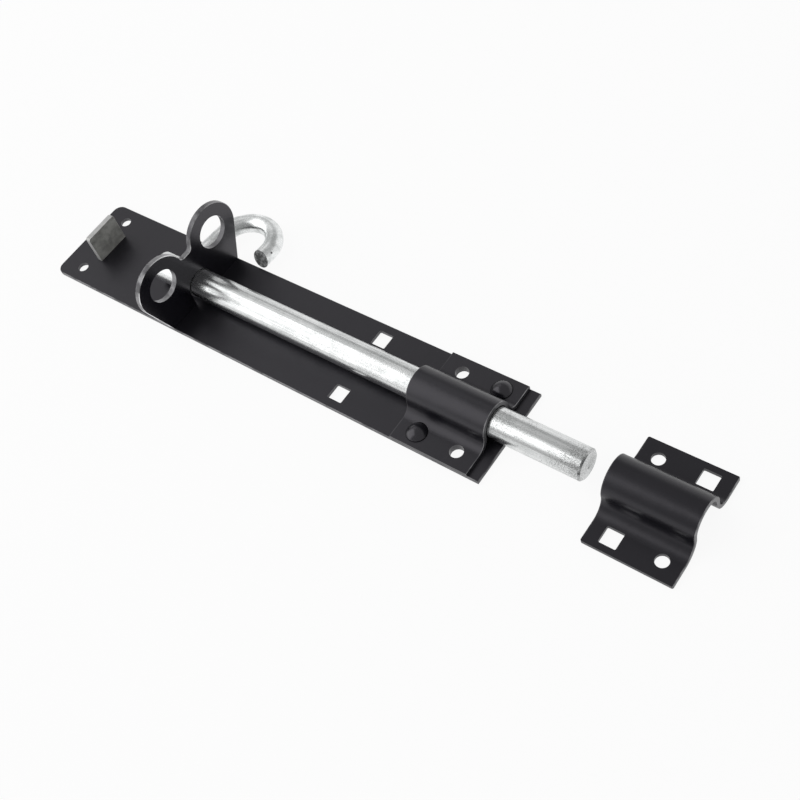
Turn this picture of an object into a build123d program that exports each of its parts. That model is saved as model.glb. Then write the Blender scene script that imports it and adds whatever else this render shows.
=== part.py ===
from build123d import *
import os
from math import acos, atan2, degrees, hypot, radians, sin, cos, sqrt

# Heavy padbolt: a black sheet back plate carries a round bar bolt, which is held down by a
# riveted guide strap at the front and by an upright two-eared padlock lug behind it. A bent
# rod bow on the bar drops over one ear, and a loose keeper takes the bolt's front end.
# Millimetres. +X is the way the bolt is thrown, +Y the side the bow lies on, +Z away from
# the door. The origin is the middle of the back plate's underside.

# Back plate
plate_length = 288.5
plate_width = 54.0
sheet = 2.0
edge_break = 0.3
plate_rear_corner = 5.0
rear_hole_diameter = 6.0
rear_hole_inset = 14.0
rear_hole_spread = 36.6
square_hole = 8.6
square_hole_corner = 0.6
square_hole_inset = 88.0
square_hole_spread = 36.4

# Bolt bar
bar_diameter = 16.0
bar_length = 264.7
bar_chamfer = 0.9
bar_floor_gap = 0.3

# Guide strap, a hat section as wide as the plate
strap_length = 44.0
strap_inset = 6.0
strap_play = 0.45
strap_bend_radius = 6.0
strap_hole_diameter = 7.0
fastener_pitch_x = 22.5
fastener_pitch_y = 38.0

# Rivets
rivet_pitch_y = 38.6
rivet_shank_diameter = 6.5
rivet_head_diameter = 11.0
rivet_head_height = 3.4
rivet_dome_bands = 4

# Padlock lug
lug_thickness = 3.0
lug_inset = 91.7
lug_base_width = 54.0
ear_radius = 16.3
ear_spread = 40.0
ear_height = 28.2
padlock_hole_diameter = 18.0
valley_height = 30.6
valley_round = 2.5
lug_play = 0.5

# End stop tab
tab_width = 20.0
tab_height = 17.5
tab_thickness = 3.0
tab_corner = 1.2

# Bow
bow_rod_diameter = 10.0
bow_pitch = 31.7
bow_tail_offset = 14.0
bow_reach = 50.6
bow_end_gap = 0.35
bow_rest_gap = 0.4
bow_weld_gap = 0.1

# Travel of the bolt, back to the tab and on to the lug
draw_travel = 44.2
throw_travel = 6.4
stop_gap = 0.3

# Keeper, a separate hat section
keeper_length = 44.2
keeper_width = 59.4
keeper_play = 0.9
keeper_lift = 0.8
keeper_bend_radius = 8.0
keeper_corner = 0.8
keeper_setoff = 12.5
keeper_hole_diameter = 6.6
keeper_hole_offset_x = 12.6
keeper_hole_offset_y = 21.3
keeper_square_offset_x = 11.0
keeper_square_offset_y = 22.2

# Worked out from the values above
plate_rear = -plate_length / 2
plate_front = plate_length / 2
bar_radius = bar_diameter / 2
axis_height = sheet + bar_floor_gap + bar_radius
lug_rear = plate_rear + lug_inset
lug_front = lug_rear + lug_thickness
bow_radius = bow_rod_diameter / 2
bow_rear_x = lug_rear - stop_gap - throw_travel - bow_radius
bow_front_x = bow_rear_x + bow_pitch
bar_rear = bow_rear_x - bow_tail_offset
bar_front = bar_rear + bar_length
tab_front = bar_rear - stop_gap - draw_travel
bow_bend_radius = bow_pitch / 2
strap_front = plate_front - strap_inset
strap_rear = strap_front - strap_length
strap_middle = (strap_front + strap_rear) / 2
keeper_rear = bar_front + keeper_setoff
keeper_middle = keeper_rear + keeper_length / 2

# The bow droops until its rear leg lies on the far edge of the back plate
edge_y = plate_width / 2
edge_drop = axis_height - sheet
bow_droop = degrees(acos((bow_radius + bow_rest_gap) / hypot(edge_y, edge_drop)) - atan2(edge_y, edge_drop))


def hat_section(width, inner_radius, bend_radius, centre_height, thickness):
    """Cross-section of a pressed strap: a round arch between two flat feet, drawn in YZ."""
    outer_radius = inner_radius + thickness
    bend_z = thickness + bend_radius
    bend_y = sqrt((outer_radius + bend_radius) ** 2 - (centre_height - bend_z) ** 2)
    lean = atan2(bend_z - centre_height, bend_y)
    half = width / 2

    def flank(side, radius_on_arch, radius_on_bend, foot_z):
        on_arch = (side * radius_on_arch * cos(lean), centre_height + radius_on_arch * sin(lean))
        middle_angle = (lean + radians(90)) / 2
        halfway = (
            side * (bend_y - radius_on_bend * cos(middle_angle)),
            bend_z - radius_on_bend * sin(middle_angle),
        )
        on_foot = (side * bend_y, foot_z)
        return on_arch, halfway, on_foot

    outer = flank(1, outer_radius, bend_radius, thickness)
    inner = flank(1, inner_radius, bend_radius + thickness, 0)
    outer_far = flank(-1, outer_radius, bend_radius, thickness)
    inner_far = flank(-1, inner_radius, bend_radius + thickness, 0)
    outline = [
        Line((half, 0), (half, thickness)),
        Line((half, thickness), outer[2]),
        ThreePointArc(outer[2], outer[1], outer[0]),
        ThreePointArc(outer[0], (0, centre_height + outer_radius), outer_far[0]),
        ThreePointArc(outer_far[0], outer_far[1], outer_far[2]),
        Line(outer_far[2], (-half, thickness)),
        Line((-half, thickness), (-half, 0)),
        Line((-half, 0), inner_far[2]),
        ThreePointArc(inner_far[2], inner_far[1], inner_far[0]),
        ThreePointArc(inner_far[0], (0, centre_height + inner_radius), inner[0]),
        ThreePointArc(inner[0], inner[1], inner[2]),
        Line(inner[2], (half, 0)),
    ]
    return make_face(Wire(outline))


def drill(x, y, diameter):
    """Upright drill through every sheet at one place."""
    return Pos(x, y, axis_height) * Cylinder(diameter / 2, 4 * axis_height)


def square_punch(x, y):
    """Upright square punch for a carriage bolt's neck."""
    outline = RectangleRounded(square_hole, square_hole, square_hole_corner)
    return Pos(x, y, -axis_height) * extrude(outline, 4 * axis_height)


def fastener_places(middle_x, offset_x, offset_y):
    """The two places on one diagonal: front near side and rear far side."""
    return [(middle_x + offset_x, -offset_y), (middle_x - offset_x, offset_y)]


strap_holes = fastener_places(strap_middle, fastener_pitch_x / 2, fastener_pitch_y / 2)
rivet_places = fastener_places(strap_middle, -fastener_pitch_x / 2, rivet_pitch_y / 2)


def make_back_plate():
    """Long flat sheet, rounded at its rear corners and sheared square at the front."""
    outline = Rectangle(plate_length, plate_width)
    outline = fillet(outline.vertices().group_by(Axis.X)[0], plate_rear_corner)
    plate = extrude(outline, sheet)
    plate = chamfer(plate.faces().sort_by(Axis.Z)[-1].edges(), edge_break)
    for side in (-1, 1):
        plate -= drill(plate_rear + rear_hole_inset, side * rear_hole_spread / 2, rear_hole_diameter)
        plate -= square_punch(plate_front - square_hole_inset, side * square_hole_spread / 2)
    for x, y in strap_holes:
        plate -= drill(x, y, strap_hole_diameter)
    for x, y in rivet_places:
        plate -= drill(x, y, rivet_shank_diameter)
    return plate


def make_guide_strap():
    """Pressed strap over the bar, its feet flush with the long edges of the plate."""
    inner_radius = bar_radius + strap_play
    section = hat_section(plate_width, inner_radius, strap_bend_radius, axis_height - sheet, sheet)
    strap = Pos(strap_rear, 0, sheet) * extrude(Plane.YZ * section, strap_length)
    for x, y in strap_holes:
        strap -= drill(x, y, strap_hole_diameter)
    # Each rivet's head is pressed flat into the foot and the start of its bend
    for x, y in rivet_places:
        strap -= drill(x, y, rivet_shank_diameter)
        strap -= Pos(x, y, 2 * sheet + axis_height / 2) * Cylinder(rivet_head_diameter / 2, axis_height)
    return strap


def make_rivet(x, y):
    """Domed rivet: a shank that fills the plate and strap holes under a low round head."""
    head_radius = rivet_head_diameter / 2
    shank_radius = rivet_shank_diameter / 2
    seat = 2 * sheet
    top = seat + rivet_head_height
    dome_radius = (head_radius**2 + rivet_head_height**2) / (2 * rivet_head_height)
    dome_turn = atan2(head_radius, dome_radius - rivet_head_height)
    # The dome is turned in a few narrow bands, which keeps its mesh light
    turns = [dome_turn * (1 - band / rivet_dome_bands) for band in range(rivet_dome_bands + 1)]
    dome = [(dome_radius * sin(turn), top - dome_radius * (1 - cos(turn))) for turn in turns]
    outline = Polyline((0, 0), (shank_radius, 0), (shank_radius, seat), *dome, close=True)
    return Pos(x, y, 0) * revolve(Plane.XZ * make_face(outline), Axis.Z)


def ear_flank():
    """Slope of the lug's straight flank, and its length up to where it runs into the ear."""
    base_half = lug_base_width / 2
    ear_y = ear_spread / 2
    reach = hypot(base_half - ear_y, ear_height)
    length = sqrt(reach**2 - ear_radius**2)
    slope = atan2(ear_height, ear_y - base_half) - atan2(ear_radius, length)
    return slope, length


def make_lug_plate():
    """Upright plate across the base, flaring into two round ears with a valley between."""
    base_half = lug_base_width / 2
    ear_y = ear_spread / 2
    slope, length = ear_flank()
    tangent = (base_half + length * cos(slope), length * sin(slope))
    valley_half = ear_y - sqrt(ear_radius**2 - (valley_height - ear_height) ** 2)
    ear_top = ear_height + ear_radius
    outline = [
        Line((-base_half, 0), (base_half, 0)),
        Line((base_half, 0), tangent),
        ThreePointArc(tangent, (ear_y, ear_top), (valley_half, valley_height)),
        Line((valley_half, valley_height), (-valley_half, valley_height)),
        ThreePointArc((-valley_half, valley_height), (-ear_y, ear_top), (-tangent[0], tangent[1])),
        Line((-tangent[0], tangent[1]), (-base_half, 0)),
    ]
    face = make_face(Wire(outline))
    valley_corners = [v for v in face.vertices() if abs(v.Y - valley_height) < 0.01]
    face = fillet(valley_corners, min(valley_round, 0.9 * valley_half))
    lug = extrude(face, lug_thickness)
    rims = [edge for edge in lug.edges().filter_by(Axis.Z, reverse=True) if edge.center().Y > edge_break]
    lug = chamfer(rims, edge_break)
    for side in (-1, 1):
        hole = Circle(padlock_hole_diameter / 2)
        lug -= Pos(side * ear_y, ear_height) * extrude(hole, lug_thickness)
    bar_opening = bar_radius + lug_play
    centre_z = axis_height - sheet
    arch = Pos(0, centre_z) * Circle(bar_opening)
    arch += Pos(0, centre_z / 2 - bar_radius / 2) * Rectangle(2 * bar_opening, centre_z + bar_radius)
    lug -= extrude(arch, lug_thickness)
    return Plane.YZ.offset(lug_rear).location * lug.moved(Location((0, sheet, 0)))


def make_end_stop_tab():
    """Short square tab standing at the rear, where the drawn bar comes to rest."""
    face = Pos(0, tab_height / 2) * Rectangle(tab_width, tab_height)
    face = fillet(face.vertices().group_by(Axis.Y)[-1], tab_corner)
    return Pos(tab_front - tab_thickness, 0, sheet) * extrude(Plane.YZ * face, tab_thickness)


def make_bolt_bar():
    """Plain round bar, its two ends lightly chamfered."""
    bar = Cylinder(bar_radius, bar_length, rotation=(0, 90, 0))
    bar = chamfer(bar.edges().filter_by(GeomType.CIRCLE), bar_chamfer)
    return Pos(bar_rear + bar_length / 2, 0, axis_height) * bar


def make_bow_handle():
    """Round rod bent into a U: one leg coped onto the bar, the other ending past the ear."""
    bend_centre = bow_reach - bow_bend_radius
    section = Plane.XZ * Circle(bow_radius)
    rear_leg = Pos(bow_rear_x, bend_centre, 0) * extrude(section, bend_centre)
    bend_axis = Axis((bow_rear_x + bow_bend_radius, bend_centre, 0), (0, 0, -1))
    bend = revolve(Pos(bow_rear_x, bend_centre, 0) * section, bend_axis, 180)
    front_leg = Pos(bow_front_x, bend_centre, 0) * extrude(section, bend_centre)
    rod = rear_leg + bend + front_leg
    rod -= Cylinder(bar_radius + bow_weld_gap, 2 * plate_length, rotation=(0, 90, 0))
    rod = max(rod.solids(), key=lambda solid: solid.volume)
    rod = Pos(0, 0, axis_height) * Rot(-bow_droop, 0, 0) * rod
    # The free end is cut off along the ear's flank, so that the bar can be drawn past it
    slope, _ = ear_flank()
    flank = Pos(bow_front_x, lug_base_width / 2 + bow_end_gap / sin(slope), sheet)
    block = Pos(0, -lug_base_width / 2, 0) * Box(1.5 * bow_rod_diameter, lug_base_width, lug_base_width)
    return rod - flank * Rot(degrees(slope) - 90, 0, 0) * block


def make_keeper():
    """Separate pressed strap that is screwed to the frame and takes the bolt's front end."""
    inner_radius = bar_radius + keeper_play
    centre_height = axis_height + keeper_lift
    section = hat_section(keeper_width, inner_radius, keeper_bend_radius, centre_height, sheet)
    strap = Pos(keeper_rear, 0, 0) * extrude(Plane.YZ * section, keeper_length)
    strap = fillet(strap.edges().filter_by(Axis.Z), keeper_corner)
    for x, y in fastener_places(keeper_middle, keeper_hole_offset_x, keeper_hole_offset_y):
        strap -= drill(x, y, keeper_hole_diameter)
    for x, y in fastener_places(keeper_middle, -keeper_square_offset_x, keeper_square_offset_y):
        strap -= square_punch(x, y)
    return strap


pieces = {
    "back_plate": make_back_plate(),
    "guide_strap": make_guide_strap(),
    "rivet_near": make_rivet(*rivet_places[0]),
    "rivet_far": make_rivet(*rivet_places[1]),
    "lug_plate": make_lug_plate(),
    "end_stop_tab": make_end_stop_tab(),
    "bolt_bar": make_bolt_bar(),
    "bow_handle": make_bow_handle(),
    "keeper": make_keeper(),
}

os.makedirs("parts", exist_ok=True)
for name, piece in pieces.items():
    piece.label = name
    export_step(piece, "parts/" + name + ".step")

print("bar axis height", round(axis_height, 3), "bow droop", round(bow_droop, 3))
print("travel back", draw_travel, "travel on", round(lug_rear - bow_rear_x - bow_radius - stop_gap, 3))
print("bow turn", round(180 + 2 * bow_droop, 3))
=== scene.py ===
from math import asin, pi

import bmesh
import bpy
from mathutils import Matrix, Vector


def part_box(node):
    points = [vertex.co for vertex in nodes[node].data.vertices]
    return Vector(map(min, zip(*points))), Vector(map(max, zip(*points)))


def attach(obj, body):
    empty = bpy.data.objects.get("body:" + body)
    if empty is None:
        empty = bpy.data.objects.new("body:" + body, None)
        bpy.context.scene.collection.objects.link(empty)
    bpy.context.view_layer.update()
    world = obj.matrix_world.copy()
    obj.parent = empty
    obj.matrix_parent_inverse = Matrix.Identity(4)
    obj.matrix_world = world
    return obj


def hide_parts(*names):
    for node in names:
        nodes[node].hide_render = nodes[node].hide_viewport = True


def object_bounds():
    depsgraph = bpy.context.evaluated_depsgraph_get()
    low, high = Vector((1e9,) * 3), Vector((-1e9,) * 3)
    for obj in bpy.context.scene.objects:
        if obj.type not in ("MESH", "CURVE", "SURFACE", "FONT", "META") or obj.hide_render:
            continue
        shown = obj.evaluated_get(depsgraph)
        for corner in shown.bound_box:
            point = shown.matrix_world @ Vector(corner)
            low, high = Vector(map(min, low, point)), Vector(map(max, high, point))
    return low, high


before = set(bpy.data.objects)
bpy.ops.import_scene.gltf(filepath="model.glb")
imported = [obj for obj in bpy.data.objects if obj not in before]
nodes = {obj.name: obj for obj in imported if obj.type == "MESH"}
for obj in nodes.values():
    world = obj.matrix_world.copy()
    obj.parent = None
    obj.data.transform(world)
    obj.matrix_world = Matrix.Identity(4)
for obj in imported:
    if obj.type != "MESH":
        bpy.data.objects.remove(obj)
cad_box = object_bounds()


# Back plate: a long strip of 2 mm mild steel, sheared to length, its rear corners rounded,
# and punched for its screws and coach bolts. It is dipped in black stoving paint, which dries
# to a satin film with a faint ripple. Its sheared rims and cut faces show bright steel, partly
# paint rubbed to the steel and partly a painted highlight.
paint_black = (0.0045, 0.0043, 0.0068, 1.0)
paint_worn = (0.011, 0.0108, 0.0145, 1.0)
paint_roughness = 0.3
paint_sheen = (0.96, 0.93, 1.0, 1.0)


def add_socket(group, name, kind, value=None, out=False):
    """One named input or output of a shader node group."""
    way = "OUTPUT" if out else "INPUT"
    socket = group.interface.new_socket(name=name, in_out=way, socket_type=kind)
    if value is not None:
        socket.default_value = value
    return socket


def build_paint_film():
    """Stoved paint: slow ripple, fine grain, dust nibs and a slightly uneven gloss."""
    group = bpy.data.node_groups.new("paint film", "ShaderNodeTree")
    add_socket(group, "Colour", "NodeSocketColor", paint_black)
    add_socket(group, "Worn colour", "NodeSocketColor", paint_worn)
    add_socket(group, "Roughness", "NodeSocketFloat", paint_roughness)
    add_socket(group, "Ripple", "NodeSocketFloat", 0.12)
    add_socket(group, "Colour", "NodeSocketColor", out=True)
    add_socket(group, "Roughness", "NodeSocketFloat", out=True)
    add_socket(group, "Normal", "NodeSocketVector", out=True)
    tree = group.nodes
    link = group.links.new
    given = tree.new("NodeGroupInput")
    result = tree.new("NodeGroupOutput")
    place = tree.new("ShaderNodeTexCoord")

    ripple = tree.new("ShaderNodeTexNoise")
    ripple.inputs["Scale"].default_value = 150.0
    ripple.inputs["Detail"].default_value = 2.0
    link(place.outputs["Object"], ripple.inputs["Vector"])
    grain = tree.new("ShaderNodeTexNoise")
    grain.inputs["Scale"].default_value = 1900.0
    grain.inputs["Detail"].default_value = 3.0
    link(place.outputs["Object"], grain.inputs["Vector"])
    dust = tree.new("ShaderNodeTexVoronoi")
    dust.inputs["Scale"].default_value = 120.0
    link(place.outputs["Object"], dust.inputs["Vector"])
    nibs = tree.new("ShaderNodeMapRange")
    nibs.inputs["From Min"].default_value = 0.035
    nibs.inputs["From Max"].default_value = 0.02
    link(dust.outputs["Distance"], nibs.inputs["Value"])

    low = tree.new("ShaderNodeBump")
    low.inputs["Distance"].default_value = 0.0004
    link(given.outputs["Ripple"], low.inputs["Strength"])
    link(ripple.outputs["Fac"], low.inputs["Height"])
    fine = tree.new("ShaderNodeBump")
    fine.inputs["Strength"].default_value = 0.05
    fine.inputs["Distance"].default_value = 0.0001
    link(grain.outputs["Fac"], fine.inputs["Height"])
    link(low.outputs["Normal"], fine.inputs["Normal"])
    raised = tree.new("ShaderNodeBump")
    raised.inputs["Strength"].default_value = 0.2
    raised.inputs["Distance"].default_value = 0.0002
    link(nibs.outputs["Result"], raised.inputs["Height"])
    link(fine.outputs["Normal"], raised.inputs["Normal"])
    link(raised.outputs["Normal"], result.inputs["Normal"])

    cloud = tree.new("ShaderNodeTexNoise")
    cloud.inputs["Scale"].default_value = 30.0
    cloud.inputs["Detail"].default_value = 5.0
    link(place.outputs["Object"], cloud.inputs["Vector"])
    rubbed = tree.new("ShaderNodeMapRange")
    rubbed.inputs["From Min"].default_value = 0.45
    rubbed.inputs["From Max"].default_value = 0.75
    rubbed.inputs["To Max"].default_value = 0.35
    link(cloud.outputs["Fac"], rubbed.inputs["Value"])
    tint = tree.new("ShaderNodeMix")
    tint.data_type = "RGBA"
    link(rubbed.outputs["Result"], tint.inputs["Factor"])
    link(given.outputs["Colour"], tint.inputs[6])
    link(given.outputs["Worn colour"], tint.inputs[7])
    link(tint.outputs[2], result.inputs["Colour"])
    haze = tree.new("ShaderNodeMath")
    haze.operation = "MULTIPLY_ADD"
    haze.inputs[1].default_value = 0.16
    link(cloud.outputs["Fac"], haze.inputs[0])
    link(given.outputs["Roughness"], haze.inputs[2])
    link(haze.outputs["Value"], result.inputs["Roughness"])
    return group


paint_film = build_paint_film()


def paint_material(name, roughness, ripple, sheen_level=0.5):
    """Black stoving paint with its own gloss and ripple."""
    material = bpy.data.materials.new(name)
    material.use_nodes = True
    tree = material.node_tree
    shader = tree.nodes["Principled BSDF"]
    shader.inputs["Specular IOR Level"].default_value = sheen_level
    shader.inputs["Specular Tint"].default_value = paint_sheen
    film = tree.nodes.new("ShaderNodeGroup")
    film.node_tree = paint_film
    film.inputs["Roughness"].default_value = roughness
    film.inputs["Ripple"].default_value = ripple
    tree.links.new(film.outputs["Colour"], shader.inputs["Base Color"])
    tree.links.new(film.outputs["Roughness"], shader.inputs["Roughness"])
    tree.links.new(film.outputs["Normal"], shader.inputs["Normal"])
    return material


def build_rubbed_and_highlit_rims():
    """Where a flat sheet is rubbed and carries a painted highlight: all along its broken rims, and less
    on its cut faces; the far side takes only a share of it.
    """
    group = bpy.data.node_groups.new("rubbed and highlit rims", "ShaderNodeTree")
    add_socket(group, "Sheet normal", "NodeSocketVector", (0.0, 0.0, 1.0))
    add_socket(group, "Rim wear and highlight", "NodeSocketFloat", 0.8)
    add_socket(group, "Cut wear and highlight", "NodeSocketFloat", 0.3)
    add_socket(group, "Far side highlight share", "NodeSocketFloat", 1.0)
    add_socket(group, "Mask", "NodeSocketFloat", out=True)
    tree = group.nodes
    link = group.links.new
    given = tree.new("NodeGroupInput")
    result = tree.new("NodeGroupOutput")
    place = tree.new("ShaderNodeTexCoord")

    facing = tree.new("ShaderNodeVectorMath")
    facing.operation = "DOT_PRODUCT"
    link(place.outputs["Normal"], facing.inputs[0])
    link(given.outputs["Sheet normal"], facing.inputs[1])
    level = tree.new("ShaderNodeMath")
    level.operation = "ABSOLUTE"
    link(facing.outputs["Value"], level.inputs[0])
    rim = tree.new("ShaderNodeMath")
    rim.operation = "COMPARE"
    rim.inputs[1].default_value = 0.7
    rim.inputs[2].default_value = 0.2
    link(level.outputs["Value"], rim.inputs[0])
    cut = tree.new("ShaderNodeMath")
    cut.operation = "LESS_THAN"
    cut.inputs[1].default_value = 0.3
    link(level.outputs["Value"], cut.inputs[0])

    rim_wear_and_highlight = tree.new("ShaderNodeMath")
    rim_wear_and_highlight.operation = "MULTIPLY"
    link(rim.outputs["Value"], rim_wear_and_highlight.inputs[0])
    link(given.outputs["Rim wear and highlight"], rim_wear_and_highlight.inputs[1])
    both = tree.new("ShaderNodeMath")
    both.operation = "MULTIPLY_ADD"
    link(cut.outputs["Value"], both.inputs[0])
    link(given.outputs["Cut wear and highlight"], both.inputs[1])
    link(rim_wear_and_highlight.outputs["Value"], both.inputs[2])

    patches = tree.new("ShaderNodeTexNoise")
    patches.inputs["Scale"].default_value = 130.0
    patches.inputs["Detail"].default_value = 4.0
    link(place.outputs["Object"], patches.inputs["Vector"])
    uneven = tree.new("ShaderNodeMapRange")
    uneven.inputs["From Min"].default_value = 0.36
    uneven.inputs["From Max"].default_value = 0.52
    uneven.inputs["To Min"].default_value = 0.15
    link(patches.outputs["Fac"], uneven.inputs["Value"])
    across = tree.new("ShaderNodeSeparateXYZ")
    link(place.outputs["Object"], across.inputs["Vector"])
    # Painted highlight: the near side keeps the whole mask, the far side only a share.
    near_side_highlight = tree.new("ShaderNodeMapRange")
    near_side_highlight.inputs["From Min"].default_value = 0.01
    near_side_highlight.inputs["From Max"].default_value = -0.01
    link(across.outputs["Y"], near_side_highlight.inputs["Value"])
    link(given.outputs["Far side highlight share"], near_side_highlight.inputs["To Min"])
    mask = both.outputs["Value"]
    for share in (uneven.outputs["Result"], near_side_highlight.outputs["Result"]):
        part = tree.new("ShaderNodeMath")
        part.operation = "MULTIPLY"
        link(mask, part.inputs[0])
        link(share, part.inputs[1])
        mask = part.outputs["Value"]
    link(mask, result.inputs["Mask"])
    return group


rubbed_and_highlit_rims = build_rubbed_and_highlit_rims()
# Bright steel colour, both for paint rubbed to the steel and for painted highlights on rims and ends.
worn_and_highlit_steel = (0.85, 0.85, 0.86, 1.0)
worn_and_highlit_steel_gloss = 0.34


def show_steel_and_highlight(material, wear):
    """Bright steel colour where the mask is high: partly steel rubbed through the paint, partly a
    painted highlight.
    """
    tree = material.node_tree
    shader = tree.nodes["Principled BSDF"]
    painted = shader.inputs["Base Color"].links[0].from_socket
    gloss = shader.inputs["Roughness"].links[0].from_socket
    tint = tree.nodes.new("ShaderNodeMix")
    tint.data_type = "RGBA"
    tint.inputs[7].default_value = worn_and_highlit_steel
    tree.links.new(wear, tint.inputs["Factor"])
    tree.links.new(painted, tint.inputs[6])
    tree.links.new(tint.outputs[2], shader.inputs["Base Color"])
    rough = tree.nodes.new("ShaderNodeMix")
    rough.data_type = "FLOAT"
    rough.inputs[3].default_value = worn_and_highlit_steel_gloss
    tree.links.new(wear, rough.inputs["Factor"])
    tree.links.new(gloss, rough.inputs[2])
    tree.links.new(rough.outputs[0], shader.inputs["Roughness"])
    tree.links.new(wear, shader.inputs["Metallic"])


def rub_and_highlight_rims(material, sheet_normal, rim_wear_and_highlight, cut_wear_and_highlight, far_side_highlight_share=1.0):
    """A flat sheet's rims and cut faces, partly rubbed by handling and partly a painted highlight."""
    rims = material.node_tree.nodes.new("ShaderNodeGroup")
    rims.node_tree = rubbed_and_highlit_rims
    rims.inputs["Sheet normal"].default_value = sheet_normal
    rims.inputs["Rim wear and highlight"].default_value = rim_wear_and_highlight
    rims.inputs["Cut wear and highlight"].default_value = cut_wear_and_highlight
    rims.inputs["Far side highlight share"].default_value = far_side_highlight_share
    show_steel_and_highlight(material, rims.outputs["Mask"])


def dress(node, material):
    """A piece gets one material over its whole surface."""
    data = nodes[node].data
    data.materials.clear()
    data.materials.append(material)


plate_paint = paint_material("black paint, plate", paint_roughness, 0.12, sheen_level=0.58)
rub_and_highlight_rims(plate_paint, (0.0, 0.0, 1.0), 0.25, 0.12)
dress("back_plate", plate_paint)


# Guide strap: 2 mm strip pressed to a hat over the bar, painted with the plate. The press
# leaves its arch a little smoother, so that it shows one long soft highlight. Along its two
# sawn ends the paint is partly thin and partly carries a painted highlight, a bright line
# that is stronger at the front end.
strap_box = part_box("guide_strap")


def build_rubbed_and_highlit_ends():
    """Where a pressed strap is rubbed and carries a painted highlight: in a narrow line along both of
    its sawn ends.
    """
    group = bpy.data.node_groups.new("rubbed and highlit ends", "ShaderNodeTree")
    add_socket(group, "Rear end", "NodeSocketFloat", 0.0)
    add_socket(group, "Front end", "NodeSocketFloat", 0.1)
    add_socket(group, "Width", "NodeSocketFloat", 0.0004)
    # The rear and front lines are partly rubbing and partly a painted highlight.
    add_socket(group, "Rear wear", "NodeSocketFloat", 0.1)
    add_socket(group, "Front wear", "NodeSocketFloat", 0.5)
    add_socket(group, "Mask", "NodeSocketFloat", out=True)
    tree = group.nodes
    link = group.links.new
    given = tree.new("NodeGroupInput")
    result = tree.new("NodeGroupOutput")
    place = tree.new("ShaderNodeTexCoord")
    along = tree.new("ShaderNodeSeparateXYZ")
    link(place.outputs["Object"], along.inputs["Vector"])
    facing = tree.new("ShaderNodeSeparateXYZ")
    link(place.outputs["Normal"], facing.inputs["Vector"])

    near_end = []
    for end in ("Rear", "Front"):
        line = tree.new("ShaderNodeMath")
        line.operation = "COMPARE"
        link(along.outputs["X"], line.inputs[0])
        link(given.outputs[end + " end"], line.inputs[1])
        link(given.outputs["Width"], line.inputs[2])
        worn = tree.new("ShaderNodeMath")
        worn.operation = "MULTIPLY"
        link(line.outputs["Value"], worn.inputs[0])
        link(given.outputs[end + " wear"], worn.inputs[1])
        near_end.append(worn)
    either = tree.new("ShaderNodeMath")
    either.operation = "MAXIMUM"
    link(near_end[0].outputs["Value"], either.inputs[0])
    link(near_end[1].outputs["Value"], either.inputs[1])
    end_face = tree.new("ShaderNodeMath")
    end_face.operation = "ABSOLUTE"
    link(facing.outputs["X"], end_face.inputs[0])
    outside = tree.new("ShaderNodeMapRange")
    outside.inputs["To Min"].default_value = 1.0
    outside.inputs["To Max"].default_value = 0.15
    link(end_face.outputs["Value"], outside.inputs["Value"])

    patches = tree.new("ShaderNodeTexNoise")
    patches.inputs["Scale"].default_value = 180.0
    patches.inputs["Detail"].default_value = 3.0
    link(place.outputs["Object"], patches.inputs["Vector"])
    uneven = tree.new("ShaderNodeMapRange")
    uneven.inputs["From Min"].default_value = 0.38
    uneven.inputs["From Max"].default_value = 0.6
    uneven.inputs["To Min"].default_value = 0.25
    link(patches.outputs["Fac"], uneven.inputs["Value"])
    rubbed = uneven.outputs["Result"]
    for share in (either.outputs["Value"], outside.outputs["Result"]):
        part = tree.new("ShaderNodeMath")
        part.operation = "MULTIPLY"
        link(rubbed, part.inputs[0])
        link(share, part.inputs[1])
        rubbed = part.outputs["Value"]
    link(rubbed, result.inputs["Mask"])
    return group


rubbed_and_highlit_ends = build_rubbed_and_highlit_ends()


def rub_and_highlight_ends(material, box, rear_wear_and_highlight, front_wear_and_highlight):
    """The two ends of a pressed strap, partly rubbed by handling and partly a painted highlight."""
    ends = material.node_tree.nodes.new("ShaderNodeGroup")
    ends.node_tree = rubbed_and_highlit_ends
    ends.inputs["Rear end"].default_value = box[0][0]
    ends.inputs["Front end"].default_value = box[1][0]
    ends.inputs["Rear wear"].default_value = rear_wear_and_highlight
    ends.inputs["Front wear"].default_value = front_wear_and_highlight
    show_steel_and_highlight(material, ends.outputs["Mask"])


strap_paint = paint_material("black paint, strap", 0.23, 0.2, sheen_level=0.6)
rub_and_highlight_ends(strap_paint, strap_box, 0.06, 0.32)
dress("guide_strap", strap_paint)


# Rivets: domed heads closed over the strap's feet on shanks that fill the holes, painted with
# the rest. The film is thicker and glossier on them, so that each head shows small highlights.
rivet_shank_radius = 0.00325
rivet_seat_height = 2.0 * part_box("back_plate")[1].z
dome_steps = 12
round_steps = 48
smooth_above = 0.3
rivet_paint = paint_material("black paint, rivets", 0.18, 0.15, sheen_level=0.75)


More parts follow.
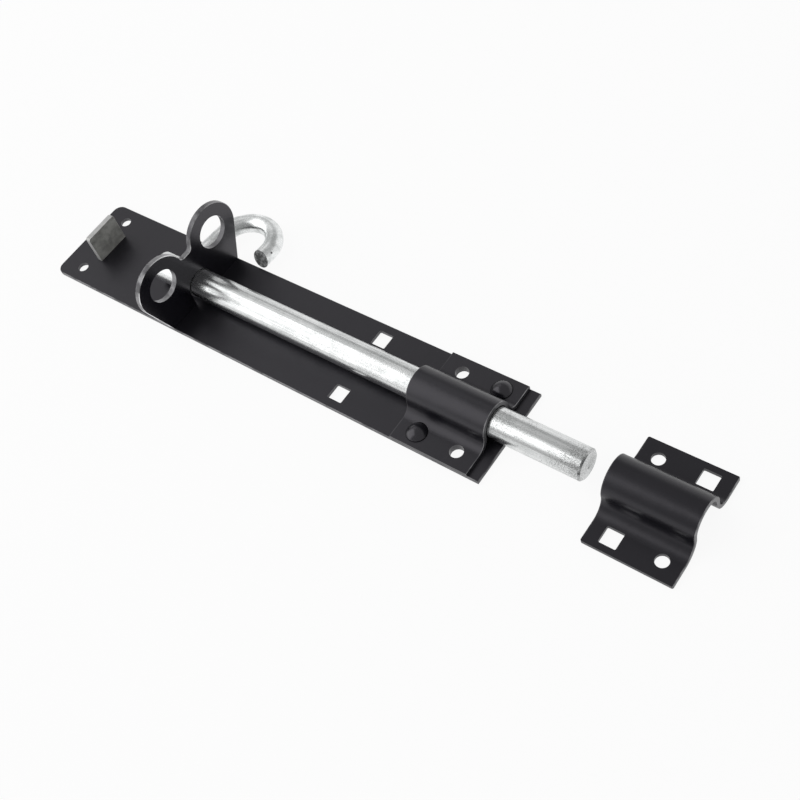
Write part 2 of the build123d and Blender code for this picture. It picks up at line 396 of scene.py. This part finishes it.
def close_rivet(node):
    """A shank and a domed head, turned about the rivet's own middle."""
    low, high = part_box(node)
    middle = (low + high) / 2
    head_radius = (high.x - low.x) / 2
    head_height = high.z - rivet_seat_height
    ball_radius = (head_radius**2 + head_height**2) / (2 * head_height)
    ball_centre = Vector((middle.x, middle.y, high.z - ball_radius))
    dome_turn = asin(head_radius / ball_radius)

    mesh = bmesh.new()
    crown = mesh.verts.new((middle.x, middle.y, high.z))
    across = (0.0, 1.0, 0.0)
    bmesh.ops.spin(mesh, geom=[crown], cent=ball_centre, axis=across, angle=dome_turn, steps=dome_steps)
    rim = max(mesh.verts, key=lambda vert: vert.co.x)
    seat = mesh.verts.new((middle.x + rivet_shank_radius, middle.y, rivet_seat_height))
    foot = mesh.verts.new((middle.x + rivet_shank_radius, middle.y, low.z))
    base = mesh.verts.new((middle.x, middle.y, low.z))
    for start, end in ((rim, seat), (seat, foot), (foot, base)):
        mesh.edges.new((start, end))
    profile = mesh.verts[:] + mesh.edges[:]
    upright = (0.0, 0.0, 1.0)
    bmesh.ops.spin(
        mesh, geom=profile, cent=middle, axis=upright, angle=2 * pi, steps=round_steps, use_merge=True
    )
    bmesh.ops.remove_doubles(mesh, verts=mesh.verts[:], dist=0.000005)
    bmesh.ops.recalc_face_normals(mesh, faces=mesh.faces[:])
    for face in mesh.faces:
        face.smooth = face.normal.z > smooth_above
    data = bpy.data.meshes.new(node + "_closed")
    mesh.to_mesh(data)
    mesh.free()
    rivet = bpy.data.objects.new(node + "_closed", data)
    bpy.context.scene.collection.objects.link(rivet)
    data.materials.append(rivet_paint)
    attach(rivet, "base")
    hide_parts(node)


close_rivet("rivet_near")
close_rivet("rivet_far")


# Padlock lug: a 3 mm plate cut with two ears and an arch for the bar, set upright on the back
# plate and painted with it. Its rims and the walls of its two holes show bright steel, partly
# rubbed by shackles and hands and partly a painted highlight, which is weaker on the far side.
lug_paint = paint_material("black paint, lug", 0.16, 0.1, sheen_level=0.75)
rub_and_highlight_rims(lug_paint, (1.0, 0.0, 0.0), 1.0, 0.32, far_side_highlight_share=0.45)
dress("lug_plate", lug_paint)


# Keeper: the same pressed hat as the guide strap on feet of its own. It is painted with the
# plate, and screwed to the frame or post. Like the strap, its ends are partly rubbed and partly
# carry a painted highlight.
keeper_paint = paint_material("black paint, keeper", 0.26, 0.25, sheen_level=0.52)
rub_and_highlight_ends(keeper_paint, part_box("keeper"), 0.1, 0.4)
dress("keeper", keeper_paint)


# Bolt bar: a length of 16 mm drawn rod, sawn and chamfered, barrel plated in bright zinc. It
# keeps the drawing lines along its length, and the plating lies over them in soft mottled
# patches with a dark grain that is thickest towards its front end.
zinc_light = (0.78, 0.79, 0.79, 1.0)
zinc_dark = (0.5, 0.52, 0.515, 1.0)
bar_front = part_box("bolt_bar")[1].x
bar_end_pit = (bar_front, 0.0, 0.0086)
pit_radius = 0.0008
pit_shade = 0.85
chamfer_facing = 0.7
chamfer_shade = 0.2
grain_start = 0.05
grain_full = 0.15
least_grain = 0.4
most_grain = 0.85


def build_zinc_coat():
    """Zinc plating: mottle, fine drawing lines along X and a dark grain that comes in patches."""
    group = bpy.data.node_groups.new("zinc coat", "ShaderNodeTree")
    add_socket(group, "Light", "NodeSocketColor", zinc_light)
    add_socket(group, "Dark", "NodeSocketColor", zinc_dark)
    add_socket(group, "Roughness", "NodeSocketFloat", 0.28)
    add_socket(group, "Drawing lines", "NodeSocketFloat", 0.5)
    add_socket(group, "Speckle", "NodeSocketFloat", 0.5)
    add_socket(group, "Colour", "NodeSocketColor", out=True)
    add_socket(group, "Roughness", "NodeSocketFloat", out=True)
    add_socket(group, "Normal", "NodeSocketVector", out=True)
    tree = group.nodes
    link = group.links.new
    given = tree.new("NodeGroupInput")
    result = tree.new("NodeGroupOutput")
    place = tree.new("ShaderNodeTexCoord")

    along = tree.new("ShaderNodeMapping")
    along.inputs["Scale"].default_value = (18.0, 1300.0, 1300.0)
    link(place.outputs["Object"], along.inputs["Vector"])
    lines = tree.new("ShaderNodeTexNoise")
    lines.inputs["Scale"].default_value = 1.0
    lines.inputs["Detail"].default_value = 6.0
    lines.inputs["Roughness"].default_value = 0.6
    link(along.outputs["Vector"], lines.inputs["Vector"])

    mottle = tree.new("ShaderNodeTexNoise")
    mottle.inputs["Scale"].default_value = 160.0
    mottle.inputs["Detail"].default_value = 8.0
    mottle.inputs["Roughness"].default_value = 0.6
    link(place.outputs["Object"], mottle.inputs["Vector"])

    blend = tree.new("ShaderNodeMix")
    blend.data_type = "FLOAT"
    link(given.outputs["Drawing lines"], blend.inputs["Factor"])
    link(mottle.outputs["Fac"], blend.inputs[2])
    link(lines.outputs["Fac"], blend.inputs[3])
    spread = tree.new("ShaderNodeMapRange")
    spread.inputs["From Min"].default_value = 0.3
    spread.inputs["From Max"].default_value = 0.56
    link(blend.outputs[0], spread.inputs["Value"])

    grain = tree.new("ShaderNodeTexNoise")
    grain.inputs["Scale"].default_value = 1.0
    grain.inputs["Detail"].default_value = 3.0
    grain.inputs["Roughness"].default_value = 0.6
    grain_place = tree.new("ShaderNodeMapping")
    grain_place.inputs["Scale"].default_value = (1700.0, 2300.0, 2300.0)
    link(place.outputs["Object"], grain_place.inputs["Vector"])
    link(grain_place.outputs["Vector"], grain.inputs["Vector"])
    grain_patches = tree.new("ShaderNodeTexNoise")
    grain_patches.inputs["Scale"].default_value = 45.0
    grain_patches.inputs["Detail"].default_value = 2.0
    link(place.outputs["Object"], grain_patches.inputs["Vector"])
    crowded = tree.new("ShaderNodeMath")
    crowded.operation = "MULTIPLY_ADD"
    crowded.inputs[1].default_value = 0.5
    link(grain_patches.outputs["Fac"], crowded.inputs[0])
    link(grain.outputs["Fac"], crowded.inputs[2])
    pits = tree.new("ShaderNodeMapRange")
    pits.inputs["From Min"].default_value = 0.87
    pits.inputs["From Max"].default_value = 0.75
    pits.inputs["To Min"].default_value = 0.4
    link(crowded.outputs["Value"], pits.inputs["Value"])

    tone = tree.new("ShaderNodeMix")
    tone.data_type = "RGBA"
    link(spread.outputs["Result"], tone.inputs["Factor"])
    link(given.outputs["Dark"], tone.inputs[6])
    link(given.outputs["Light"], tone.inputs[7])
    pitted = tree.new("ShaderNodeMix")
    pitted.data_type = "RGBA"
    pitted.blend_type = "MULTIPLY"
    link(given.outputs["Speckle"], pitted.inputs["Factor"])
    link(tone.outputs[2], pitted.inputs[6])
    link(pits.outputs["Result"], pitted.inputs[7])
    link(pitted.outputs[2], result.inputs["Colour"])

    dull = tree.new("ShaderNodeMapRange")
    dull.inputs["To Min"].default_value = 0.14
    dull.inputs["To Max"].default_value = -0.04
    link(spread.outputs["Result"], dull.inputs["Value"])
    rough = tree.new("ShaderNodeMath")
    rough.operation = "ADD"
    link(dull.outputs["Result"], rough.inputs[0])
    link(given.outputs["Roughness"], rough.inputs[1])
    link(rough.outputs["Value"], result.inputs["Roughness"])

    relief = tree.new("ShaderNodeBump")
    relief.inputs["Strength"].default_value = 0.035
    relief.inputs["Distance"].default_value = 0.0002
    link(blend.outputs[0], relief.inputs["Height"])
    dents = tree.new("ShaderNodeBump")
    dents.inputs["Strength"].default_value = 0.12
    dents.inputs["Distance"].default_value = 0.0001
    link(pits.outputs["Result"], dents.inputs["Height"])
    link(relief.outputs["Normal"], dents.inputs["Normal"])
    link(dents.outputs["Normal"], result.inputs["Normal"])
    return group


zinc_coat = build_zinc_coat()


def zinc_material(name, roughness, drawing_lines, speckle=0.4, light=zinc_light, dark=zinc_dark):
    """Zinc plating with its own brightness, gloss and drawing lines."""
    material = bpy.data.materials.new(name)
    material.use_nodes = True
    tree = material.node_tree
    shader = tree.nodes["Principled BSDF"]
    shader.inputs["Metallic"].default_value = 1.0
    coat = tree.nodes.new("ShaderNodeGroup")
    coat.node_tree = zinc_coat
    coat.inputs["Light"].default_value = light
    coat.inputs["Dark"].default_value = dark
    coat.inputs["Roughness"].default_value = roughness
    coat.inputs["Drawing lines"].default_value = drawing_lines
    coat.inputs["Speckle"].default_value = speckle
    tree.links.new(coat.outputs["Colour"], shader.inputs["Base Color"])
    tree.links.new(coat.outputs["Roughness"], shader.inputs["Roughness"])
    tree.links.new(coat.outputs["Normal"], shader.inputs["Normal"])
    return material


def axes_of(material, coordinate):
    """X, Y and Z of the place on a piece, or of the way that its surface faces."""
    tree = material.node_tree
    source = tree.nodes.new("ShaderNodeTexCoord")
    axes = tree.nodes.new("ShaderNodeSeparateXYZ")
    tree.links.new(source.outputs[coordinate], axes.inputs["Vector"])
    return axes.outputs


def darken(material, dark_mask, share):
    """Takes the plating's colour down where the mask is high."""
    tree = material.node_tree
    shader = tree.nodes["Principled BSDF"]
    plated = shader.inputs["Base Color"].links[0].from_socket
    shade = tree.nodes.new("ShaderNodeMath")
    shade.operation = "MULTIPLY_ADD"
    shade.inputs[1].default_value = -share
    shade.inputs[2].default_value = 1.0
    tree.links.new(dark_mask, shade.inputs[0])
    shaded = tree.nodes.new("ShaderNodeMix")
    shaded.data_type = "RGBA"
    shaded.blend_type = "MULTIPLY"
    shaded.inputs["Factor"].default_value = 1.0
    tree.links.new(plated, shaded.inputs[6])
    tree.links.new(shade.outputs["Value"], shaded.inputs[7])
    tree.links.new(shaded.outputs[2], shader.inputs["Base Color"])


def pit(material, place):
    """Paints the shade of a small pit into the plating's colour, without sinking the surface."""
    tree = material.node_tree
    here = tree.nodes.new("ShaderNodeTexCoord")
    reach = tree.nodes.new("ShaderNodeVectorMath")
    reach.operation = "DISTANCE"
    reach.inputs[1].default_value = place
    tree.links.new(here.outputs["Object"], reach.inputs[0])
    mask = tree.nodes.new("ShaderNodeMapRange")
    mask.inputs["From Min"].default_value = pit_radius
    mask.inputs["From Max"].default_value = pit_radius / 2
    tree.links.new(reach.outputs["Value"], mask.inputs["Value"])
    darken(material, mask.outputs["Result"], pit_shade)


bar_zinc = zinc_material("bright zinc, bar", 0.22, 0.65)
tree = bar_zinc.node_tree
# Painted shade: the ring of the front chamfer is darkened a little.
chamfer_ring = tree.nodes.new("ShaderNodeMath")
chamfer_ring.operation = "COMPARE"
chamfer_ring.inputs[1].default_value = chamfer_facing
chamfer_ring.inputs[2].default_value = 0.15
tree.links.new(axes_of(bar_zinc, "Normal")["X"], chamfer_ring.inputs[0])
darken(bar_zinc, chamfer_ring.outputs["Value"], chamfer_shade)
towards_tip = tree.nodes.new("ShaderNodeMapRange")
towards_tip.inputs["From Min"].default_value = grain_start
towards_tip.inputs["From Max"].default_value = grain_full
towards_tip.inputs["To Min"].default_value = least_grain
towards_tip.inputs["To Max"].default_value = most_grain
tree.links.new(axes_of(bar_zinc, "Object")["X"], towards_tip.inputs["Value"])
tree.links.new(towards_tip.outputs["Result"], tree.nodes["Group"].inputs["Speckle"])
# Painted shade of a small pit on the front end face.
pit(bar_zinc, bar_end_pit)
dress("bolt_bar", bar_zinc)


# Bow: 10 mm rod, cut, bent round a former and welded to the bar near its tail, then plated
# with it. It is the handle that turns and draws the bolt. Its zinc is given a paler colour
# than the bar's, as painted light. Its free end is torn and bare, and its end face is darkened
# in torn patches as painted shade. A painted shade of a small pit sits on it.
# Painted light: the bow's zinc is paler than the bar's.
bow_zinc_painted_light = (0.92, 0.935, 0.935, 1.0)
cut_end_facing = -0.92
cut_end_reach = 0.034
torn_shade = 0.75
bare_share = 0.9
bow_pit = (-0.0282, 0.0342, 0.0091)
bow_zinc = zinc_material("bright zinc, bow", 0.3, 0.1, light=bow_zinc_painted_light)
tree = bow_zinc.node_tree
faces_back = tree.nodes.new("ShaderNodeMath")
faces_back.operation = "LESS_THAN"
faces_back.inputs[1].default_value = cut_end_facing
tree.links.new(axes_of(bow_zinc, "Normal")["Y"], faces_back.inputs[0])
near_tip = tree.nodes.new("ShaderNodeMath")
near_tip.operation = "LESS_THAN"
near_tip.inputs[1].default_value = cut_end_reach
tree.links.new(axes_of(bow_zinc, "Object")["Y"], near_tip.inputs[0])
cut_end = tree.nodes.new("ShaderNodeMath")
cut_end.operation = "MULTIPLY"
tree.links.new(faces_back.outputs["Value"], cut_end.inputs[0])
tree.links.new(near_tip.outputs["Value"], cut_end.inputs[1])
place = tree.nodes.new("ShaderNodeTexCoord")
torn = tree.nodes.new("ShaderNodeTexNoise")
torn.inputs["Scale"].default_value = 420.0
torn.inputs["Detail"].default_value = 4.0
tree.links.new(place.outputs["Object"], torn.inputs["Vector"])
torn_patches = tree.nodes.new("ShaderNodeMapRange")
torn_patches.inputs["From Min"].default_value = 0.42
torn_patches.inputs["From Max"].default_value = 0.54
torn_patches.inputs["To Min"].default_value = 0.3
tree.links.new(torn.outputs["Fac"], torn_patches.inputs["Value"])
# Painted shade: the cut end face is darkened in torn patches.
torn_end_shade = tree.nodes.new("ShaderNodeMath")
torn_end_shade.operation = "MULTIPLY"
tree.links.new(cut_end.outputs["Value"], torn_end_shade.inputs[0])
tree.links.new(torn_patches.outputs["Result"], torn_end_shade.inputs[1])
darken(bow_zinc, torn_end_shade.outputs["Value"], torn_shade)
metal_left = tree.nodes.new("ShaderNodeMath")
metal_left.operation = "MULTIPLY_ADD"
metal_left.inputs[1].default_value = -bare_share
metal_left.inputs[2].default_value = 1.0
tree.links.new(cut_end.outputs["Value"], metal_left.inputs[0])
tree.links.new(metal_left.outputs["Value"], tree.nodes["Principled BSDF"].inputs["Metallic"])
# Painted shade of a small pit on the bow.
pit(bow_zinc, bow_pit)
dress("bow_handle", bow_zinc)


# End stop tab: a short end of flat bar, set upright on the back plate where the drawn bar
# comes to rest. It is bare zinc, dull and smudged. Its rims and cut faces are lightened as a
# painted reflection.
tab_light = (0.42, 0.42, 0.4, 1.0)
tab_dark = (0.2, 0.2, 0.19, 1.0)
tab_zinc = zinc_material("dull zinc, tab", 0.42, 0.0, speckle=0.2, light=tab_light, dark=tab_dark)
rub_and_highlight_rims(tab_zinc, (1.0, 0.0, 0.0), 0.3, 0.4)
dress("end_stop_tab", tab_zinc)


# Studio: a white floor under the part and a white wall behind it, a large soft light on the
# near side and a weaker one high at the rear. The floor keeps a faint shadow.
floor_size = 6.0
floor_white = (0.94, 0.94, 0.94, 1.0)
floor_shadow_share = 0.08
floor_gap = 0.0002
wall_distance = 1.6
wall_height_share = 0.28
room_strength = 0.48
room_white = (1.0, 1.0, 1.0, 1.0)
lamp_target = (0.03, 0.0, 0.01)

floor_height = cad_box[0][2] - floor_gap
bpy.ops.mesh.primitive_plane_add(size=floor_size, location=(0.0, 0.0, floor_height))
floor = bpy.context.object
floor.name = "floor"
sweep = bpy.data.materials.new("white sweep")
sweep.use_nodes = True
tree = sweep.node_tree
diffuse = tree.nodes["Principled BSDF"]
diffuse.inputs["Base Color"].default_value = floor_white
diffuse.inputs["Roughness"].default_value = 0.9
diffuse.inputs["Specular IOR Level"].default_value = 0.0
glow = tree.nodes.new("ShaderNodeEmission")
path = tree.nodes.new("ShaderNodeLightPath")
seen = tree.nodes.new("ShaderNodeMath")
seen.operation = "MAXIMUM"
tree.links.new(path.outputs["Is Camera Ray"], seen.inputs[0])
tree.links.new(path.outputs["Is Glossy Ray"], seen.inputs[1])
share = tree.nodes.new("ShaderNodeMath")
share.operation = "MULTIPLY"
share.inputs[1].default_value = 1.0 - floor_shadow_share
tree.links.new(seen.outputs["Value"], share.inputs[0])
mixed = tree.nodes.new("ShaderNodeMixShader")
tree.links.new(share.outputs["Value"], mixed.inputs["Fac"])
tree.links.new(diffuse.outputs["BSDF"], mixed.inputs[1])
tree.links.new(glow.outputs["Emission"], mixed.inputs[2])
tree.links.new(mixed.outputs["Shader"], tree.nodes["Material Output"].inputs["Surface"])
floor.data.materials.append(sweep)

wall_place = (0.0, wall_distance, 0.0)
bpy.ops.mesh.primitive_plane_add(size=floor_size, location=wall_place, rotation=(pi / 2, 0.0, 0.0))
wall = bpy.context.object
wall.name = "wall"
wall.scale = (1.0, wall_height_share, 1.0)
wall.data.materials.append(sweep)

world = bpy.data.worlds.new("studio")
bpy.context.scene.world = world
world.use_nodes = True
tree = world.node_tree
room = tree.nodes["Background"]
room.inputs["Color"].default_value = room_white
room.inputs["Strength"].default_value = room_strength
white = tree.nodes.new("ShaderNodeBackground")
white.inputs["Color"].default_value = room_white
white.inputs["Strength"].default_value = 1.0
path = tree.nodes.new("ShaderNodeLightPath")
mixed = tree.nodes.new("ShaderNodeMixShader")
tree.links.new(path.outputs["Is Camera Ray"], mixed.inputs["Fac"])
tree.links.new(room.outputs["Background"], mixed.inputs[1])
tree.links.new(white.outputs["Background"], mixed.inputs[2])
tree.links.new(mixed.outputs["Shader"], tree.nodes["World Output"].inputs["Surface"])


def soft_light(name, place, width, height, power):
    """A rectangular soft light that faces the bar's middle."""
    data = bpy.data.lights.new(name, "AREA")
    data.shape = "RECTANGLE"
    data.size = width
    data.size_y = height
    data.energy = power
    lamp = bpy.data.objects.new(name, data)
    bpy.context.scene.collection.objects.link(lamp)
    lamp.location = place
    lamp.visible_camera = False
    aim = Vector(lamp_target) - Vector(place)
    lamp.rotation_euler = aim.to_track_quat("-Z", "Y").to_euler()


soft_light("near softbox", (-0.87, -0.64, 0.77), 1.6, 1.9, 11.0)
soft_light("rear softbox", (-0.85, 0.45, 1.1), 1.0, 0.8, 0.9)


# Camera: a long lens from the front and the near side, which looks down along the bar at the
# keeper in the foreground. Its place and turn are solved from the plate's outline and holes.
sensor_width = 36.0
lens_length = 53.716
camera_place = Vector((0.35648, -0.21231, 0.46235))
image_right = Vector((0.7932, 0.5708, -0.2120))
image_down = Vector((0.3834, -0.7387, -0.5544))
image_in = Vector((-0.4730, 0.3585, -0.8048))

data = bpy.data.cameras.new("camera")
data.sensor_width = sensor_width
data.lens = lens_length
data.clip_start = 0.01
data.clip_end = 20.0
camera = bpy.data.objects.new("camera", data)
bpy.context.scene.collection.objects.link(camera)
turned = Matrix((image_right, -image_down, -image_in)).transposed()
camera.matrix_world = Matrix.Translation(camera_place) @ turned.to_4x4()
bpy.context.scene.camera = camera
bpy.context.scene.view_settings.view_transform = "Standard"
